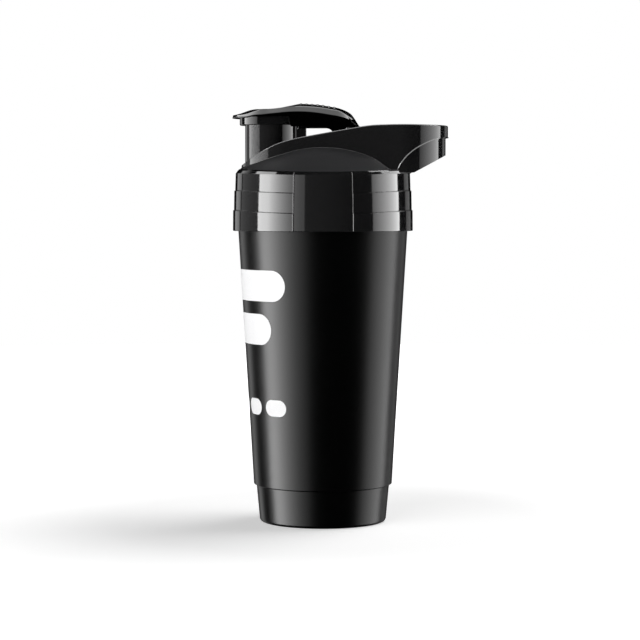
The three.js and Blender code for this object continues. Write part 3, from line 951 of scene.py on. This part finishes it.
def cap_skirt():
    """The ring under the cap that closes round the spout."""
    inner, top = CAP_SKIRT_R - CAP_WALL, CAP_PLATE_Z + 1.3
    profile = filleted([
        (inner, CAP_SKIRT_Z, 0.3),
        (CAP_SKIRT_R, CAP_SKIRT_Z, 0.6),
        (CAP_SKIRT_R, top, 0),
        (inner, top, 0),
    ], closed=True)
    profile = np.vstack([profile, profile[:1]])
    return make_object("skirt", *turned(profile, round_angles(144), centre_x=SPOUT_X))


def vent_seat():
    """The square seat that holds the vent's seal, cut back from the inside of the skirt."""
    seat = vent_post("vent_seat", VENT_TOP_Z + 0.05, CAP_PLATE_Z + 2.5)
    skirt_bore = rod(
        "skirt_bore", CAP_SKIRT_R - CAP_WALL, CAP_SKIRT_Z - 3, CAP_PLATE_Z + 1.2, SPOUT_X, 0, 144
    )
    seal_room = rod("seal_room", VENT_SEAL_R + 0.1, VENT_TOP_Z - 1, CAP_SKIRT_Z, VENT_BORE_X, 0)
    return combine(seat, "DIFFERENCE", skirt_bore, seal_room)


def ear_slot(side):
    """Room for one of the lid's ears, as far as the cap turns."""
    near, far = sorted((side * (EAR_INNER_Y - 0.4), side * (EAR_OUTER_Y + 0.4)))
    return block("ear_slot", (hinge_x + 2, near, hinge_z - 6), (hinge_x + 9, far, hinge_z + 5.8))


def flip_cap():
    piece = cap_shell()
    combine(piece, "UNION", cap_skirt(), vent_seat())
    combine(
        piece, "DIFFERENCE",
        ear_slot(-1),
        ear_slot(1),
        rod("stem_bore", 1.6, CAP_SKIRT_Z - 1, CAP_PLATE_Z, VENT_BORE_X),
        hinge_rod("pin_bore", PIN_R + 0.3, -CAP_HALF_Y, CAP_HALF_Y),
    )
    dress(piece, "cap", "lid_gloss_black", [CAP_GLOSS, GLOSS], "flip_cap")
    for face in piece.data.polygons:
        x, y, z = np.array(face.center) / MM
        on_skirt = z < CAP_PLATE_Z and math.hypot(x - SPOUT_X, y) < CAP_SKIRT_R + 0.1
        face.material_index = int(on_skirt)
    return piece


# ---------------------------- seals, pin, grid and ball


def turned_piece(name, profile, body, slot, material, centre_x=0.0, steps=96):
    closed = np.vstack([profile, profile[:1]]) if profile[0][0] > 0 else profile
    piece = make_object(name, *turned(closed, round_angles(steps), centre_x=centre_x))
    return dress(piece, body, slot, [material], name.replace("_skin", ""))


def lid_gasket():
    """Flat ring with a shallow groove in its upper face."""
    low, high = gasket_low[2], gasket_high[2]
    inner, outer = SKIRT_R + 0.35, gasket_high[0]
    middle = (inner + outer) / 2
    profile = filleted([
        (inner, low, 0.5),
        (outer, low, 0.5),
        (outer, high, 0.4),
        (middle + 0.5, high, 0.2),
        (middle, high - 0.5, 0.2),
        (middle - 0.5, high, 0.2),
        (inner, high, 0.4),
    ], closed=True)
    return turned_piece("lid_gasket_skin", profile, "gasket", "seal_silicone", SILICONE, steps=160)


def spout_plug():
    """Hollow plug under a disc, with a groove for the spout's seal."""
    radius, disc_r = SPOUT_BORE_R - 1.2, (plug_high[0] - plug_low[0]) / 2
    tip, flange, top = plug_low[2], CAP_PLATE_Z - 1.7, plug_high[2]
    profile = filleted([
        (0, flange + 0.2, 0),
        (radius - WALL, flange + 0.2, 0.5),
        (radius - WALL, tip, 0.5),
        (radius - 0.2, tip, 0.9),
        (radius, SEAL_Z - 0.9, 0.1),
        (radius - 0.3, SEAL_Z - 0.6, 0.1),
        (radius - 0.3, SEAL_Z + 0.6, 0.1),
        (radius, SEAL_Z + 0.9, 0.1),
        (radius, flange, 0.4),
        (disc_r, flange, 0.3),
        (disc_r, top, 0.3),
        (0, top, 0),
    ])
    return turned_piece("spout_plug_skin", profile, "cap", "inner_moulding", MOULDED, SPOUT_X)


def spout_seal():
    """Round silicone ring in the plug's groove."""
    bead_r = 0.55
    angle = round_angles(20)
    across = SPOUT_BORE_R - 0.95 + bead_r * np.cos(angle)
    profile = np.stack([across, SEAL_Z + bead_r * np.sin(angle)], -1)
    return turned_piece("spout_seal_skin", profile, "cap", "seal_silicone", SILICONE, SPOUT_X)


def vent_seal():
    """Silicone pad with a pointed face, held by a stem in the cap."""
    face, neck, top, stem_r = vent_low[2], CAP_SKIRT_Z - 0.15, vent_high[2], 1.3
    profile = filleted([
        (0, face + 0.4, 0),
        (0.8, face + 0.1, 0.3),
        (VENT_SEAL_R, face, 0.4),
        (VENT_SEAL_R, neck, 0.3),
        (stem_r, neck, 0.2),
        (stem_r, top, 0.4),
        (0, top, 0),
    ])
    return turned_piece("vent_seal_skin", profile, "cap", "seal_silicone", SILICONE, VENT_BORE_X, 64)


def pin():
    """Hinge pin through the ears and the cap's cheeks."""
    half = pin_high[1] - 0.5
    piece = hinge_rod("hinge_pin_skin", PIN_R, -half, half, 0.35)
    return dress(piece, "lid", "stainless_wire", [STEEL], "hinge_pin")


def mixing_grid():
    """Round rim with a snap bead, and bars crossed at two heights."""
    outer = grid_high[0]
    bottom, top = grid_low[2], grid_high[2]
    pitch, bar_half, bar_height = 12.0, 0.8, 1.6
    rim = filleted([
        (outer - 1.6, bottom, 0.4),
        (outer, bottom, 0.5),
        (outer, top - 2, 0.2),
        (outer + 0.15, top - 1.4, 0.2),
        (outer - 0.2, top, 0.3),
        (outer - 1.6, top, 0.3),
    ], closed=True)
    piece = make_object("mixing_grid_skin", *turned(np.vstack([rim, rim[:1]]), round_angles(160)))
    low, high = bottom + 0.02, bottom + 0.32
    for k in range(-3, 4):
        near, far = k * pitch - bar_half, k * pitch + bar_half
        reach = math.sqrt((outer - 1.0) ** 2 - (k * pitch) ** 2)
        across = block("bar", (near, -reach, low), (far, reach, low + bar_height), 0.3)
        along = block("bar", (-reach, near, high), (reach, far, high + bar_height), 0.3)
        combine(piece, "UNION", across, along)
    return dress(piece, "grid", "inner_moulding", [MOULDED], "mixing_grid")


def whisk_ball():
    """One wire wound round a sphere, with its two ends tucked in at the poles."""
    wire_r = 1.1
    turns = 7
    pole_gap = 0.12
    radius = (ball_high[2] - ball_low[2]) / 2 - wire_r
    centre = (ball_high[2] + ball_low[2]) / 2
    t = np.linspace(0, 1, 1400)
    tilt = pole_gap + (math.pi - 2 * pole_gap) * t
    angle = 2 * math.pi * turns * t
    flat = radius * np.sin(tilt)
    path = np.stack([flat * np.cos(angle), flat * np.sin(angle), centre - radius * np.cos(tilt)], -1)
    piece = wire("whisk_ball_skin", path, wire_r, 14)
    return dress(piece, "ball", "stainless_wire", [STEEL], "whisk_ball")


# ---------------------------- stage, light and camera


def floor():
    """Pale floor that glows more and more away from the bottle, so that only the soft shadow shows."""
    radius, sides = 1500, 96
    angle = round_angles(sides)
    ring = np.stack([radius * np.cos(angle), radius * np.sin(angle), np.full(sides, -0.05)], -1)
    piece = make_object("floor", ring, [list(range(sides))])
    nodes = Material("floor_white", Base_Color=(0.8, 0.8, 0.8, 1), Roughness=1.0, Specular_IOR_Level=0.0)
    distance = nodes.add("ShaderNodeVectorMath", operation="LENGTH")
    nodes.link(nodes.place, distance.inputs[0])
    glow = nodes.ramp(distance.outputs["Value"], 0.12, 0.5, 0.42, 1.1)
    nodes.set(Emission_Color=(1, 1, 1, 1), Emission_Strength=glow)
    piece.data.materials.append(nodes.material)
    piece.visible_glossy = False


def studio():
    """The studio seen in reflections: a faint glow, and a soft panel behind the bottle on either side.
    Azimuth 0 is the camera's side and grows towards +X. Angles are in degrees."""
    world = bpy.data.worlds.new("studio")
    bpy.context.scene.world = world
    world.use_nodes = True
    world.cycles_visibility.diffuse = False
    nodes = Nodes(world.node_tree)
    nodes.tree.nodes.clear()
    split = nodes.add("ShaderNodeSeparateXYZ")
    nodes.link(nodes.add("ShaderNodeTexCoord").outputs["Generated"], split.inputs[0])
    towards = nodes.maths("MULTIPLY", split.outputs["Y"], -1.0)
    azimuth = nodes.maths("DEGREES", nodes.maths("ARCTAN2", split.outputs["X"], towards))
    elevation = nodes.maths("DEGREES", nodes.maths("ARCSINE", split.outputs["Z"]))

    def window(value, low, high, soft):
        rise = nodes.ramp(value, low - soft, low + soft, 0, 1, "SMOOTHSTEP")
        fall = nodes.ramp(value, high - soft, high + soft, 1, 0, "SMOOTHSTEP")
        return nodes.maths("MULTIPLY", rise, fall)

    light = 0.004
    for azimuths, brightness in (((-152, -134), 0.9), ((134, 152), 0.4)):
        panel = nodes.maths("MULTIPLY", window(azimuth, *azimuths, 1.5), window(elevation, -30, 30, 8))
        light = nodes.maths("ADD", nodes.maths("MULTIPLY", panel, brightness), light)
    seen_by_camera = nodes.add("ShaderNodeLightPath").outputs["Is Camera Ray"]
    shine = nodes.add("ShaderNodeBackground")
    shine.inputs["Color"].default_value = (1, 1, 1, 1)
    nodes.link(nodes.ramp(seen_by_camera, 0, 1, light, 1.0), shine.inputs["Strength"])
    out = nodes.add("ShaderNodeOutputWorld")
    nodes.link(shine.outputs[0], out.inputs["Surface"])


def shine_only_on(light, receivers):
    group = bpy.data.collections.new(light.name)
    for receiver in receivers:
        group.objects.link(receiver)
    light.light_linking.receiver_collection = group


def card_material(name, brightness, power):
    """Clear light whose strength runs from one brightness to another along the card's share."""
    material = bpy.data.materials.new(name)
    material.use_nodes = True
    nodes = Nodes(material.node_tree)
    nodes.tree.nodes.clear()
    share = nodes.add("ShaderNodeAttribute", attribute_name="share").outputs["Fac"]
    shine = nodes.add("ShaderNodeEmission")
    nodes.link(nodes.ramp(nodes.maths("POWER", share, power), 0, 1, *brightness), shine.inputs["Strength"])
    both = nodes.add("ShaderNodeAddShader")
    nodes.link(shine.outputs[0], both.inputs[0])
    nodes.link(nodes.add("ShaderNodeBsdfTransparent").outputs[0], both.inputs[1])
    out = nodes.add("ShaderNodeOutputMaterial")
    nodes.link(both.outputs[0], out.inputs["Surface"])
    return material


def card(name, angles, brightness, power, receivers, overhead=False, ends=(-1500, 2500)):
    """Long curved light card, seen only in the reflections of the receivers: upright round the bottle, or
    over it. Angle 0 is the camera's side; the brightness is (at the first angle, at the last). Each card
    stands a little farther out than the one before, so that no two of them coincide."""
    reach = 2500 + 40 * len(bpy.data.collections)
    steps = 33
    rows = []
    for end in ends:
        for angle in np.radians(np.linspace(*angles, steps)):
            away, towards = reach * math.sin(angle), -reach * math.cos(angle)
            rows.append((end, towards, away) if overhead else (away, towards, end))
    piece = make_object(name, *surface(np.array(rows).reshape(len(ends), steps, 3)))
    share = piece.data.attributes.new("share", "FLOAT", "POINT")
    for vertex, value in zip(piece.data.vertices, share.data):
        angle = math.degrees(math.atan2(vertex.co.z if overhead else vertex.co.x, -vertex.co.y))
        value.value = (angle - angles[0]) / (angles[1] - angles[0])
    piece.data.materials.append(card_material(name, brightness, power))
    piece.visible_camera = False
    piece.visible_diffuse = False
    piece.visible_shadow = False
    shine_only_on(piece, receivers)


def cards(cup_piece, lid_piece, cap_piece, loops, others):
    """The highlights, card by card, on the cup, the collar, the cap, the loop and the small pieces."""
    card("cup_left_far", (-23, -80), (0.85, 11.0), 2.0, [cup_piece])
    card("cup_left_near", (-80, -96), (11.0, 11.0), 1.0, [cup_piece])
    card("cup_right", (69, 120), (0.9, 4.0), 0.7, [cup_piece])
    card("lid_left_far", (-23, -74), (1.0, 13.0), 2.0, [lid_piece])
    card("lid_left_near", (-74, -90.5), (13.0, 13.0), 1.0, [lid_piece])
    card("lid_right", (66, 114), (1.8, 9.8), 0.9, [lid_piece])
    card("shoulder_left", (-94, -128), (5.0, 5.0), 1.0, [lid_piece], ends=(1900, 4600))
    card("shoulder_right", (120, 142), (4.0, 4.0), 1.0, [lid_piece], ends=(1400, 4600))
    card("cap_left", (-52, -112), (1.4, 8.0), 1.0, [cap_piece])
    card("upper_left", (-52, -112), (1.6, 5.0), 0.8, [*loops, *others])
    card("upper_right", (52, 112), (0.9, 5.5), 1.0, [*loops, *others])
    card("fill", (38, -130), (0.0, 0.45), 1.0, [lid_piece, *loops, *others])
    card("over_cap", (60, 145), (4.6, 3.6), 1.0, [cap_piece], overhead=True, ends=(-3000, 3000))
    card("over_loops", (58, 125), (5.0, 5.0), 1.0, loops, overhead=True, ends=(-6000, 6000))


def lamp(name, place, size, power):
    """Square area light in metres and watts, aimed at the bottle and not seen in reflections."""
    data = bpy.data.lights.new(name, "AREA")
    data.size = size
    data.energy = power
    piece = bpy.data.objects.new(name, data)
    piece.location = place
    aim = Vector((0, 0, 0.05)) - Vector(place)
    piece.rotation_euler = aim.to_track_quat("-Z", "Y").to_euler()
    piece.visible_glossy = False
    piece.visible_camera = False
    bpy.context.scene.collection.objects.link(piece)
    return piece


def camera():
    """Level side view from a little above the lid, aimed at the middle of the bottle."""
    distance, height, aim_x, aim_z = 1.22, 0.18, -0.0016, 0.1127
    data = bpy.data.cameras.new("camera")
    data.sensor_width = 36
    data.lens = 122.7
    data.clip_end = 20
    piece = bpy.data.objects.new("camera", data)
    piece.location = (aim_x, -distance, height)
    piece.rotation_euler = (math.pi / 2 - math.atan2(height - aim_z, distance), 0, 0)
    bpy.context.scene.collection.objects.link(piece)
    bpy.context.scene.camera = piece


cup_piece = cup()
lid_piece = lid()
cap_piece = flip_cap()
loops = [loop_upper(), loop_lower()]
seals = [lid_gasket(), spout_plug(), spout_seal(), vent_seal()]
others = [spout(), pin(), mixing_grid(), whisk_ball(), *seals]
for piece in (lid_piece, cap_piece, *loops, *others):
    piece.visible_glossy = False
prints = cup_print()
floor()
studio()
cards(cup_piece, lid_piece, cap_piece, loops, others)
lamp("key", (0.9, 0.5, 1.6), 1.4, 26)
lamp("fill", (-0.9, -1.2, 1.4), 1.6, 14)
shine_only_on(lamp("print_light", (-1.0, -0.9, 0.3), 1.0, 11), prints)
camera()
bpy.context.scene.view_settings.view_transform = "Standard"
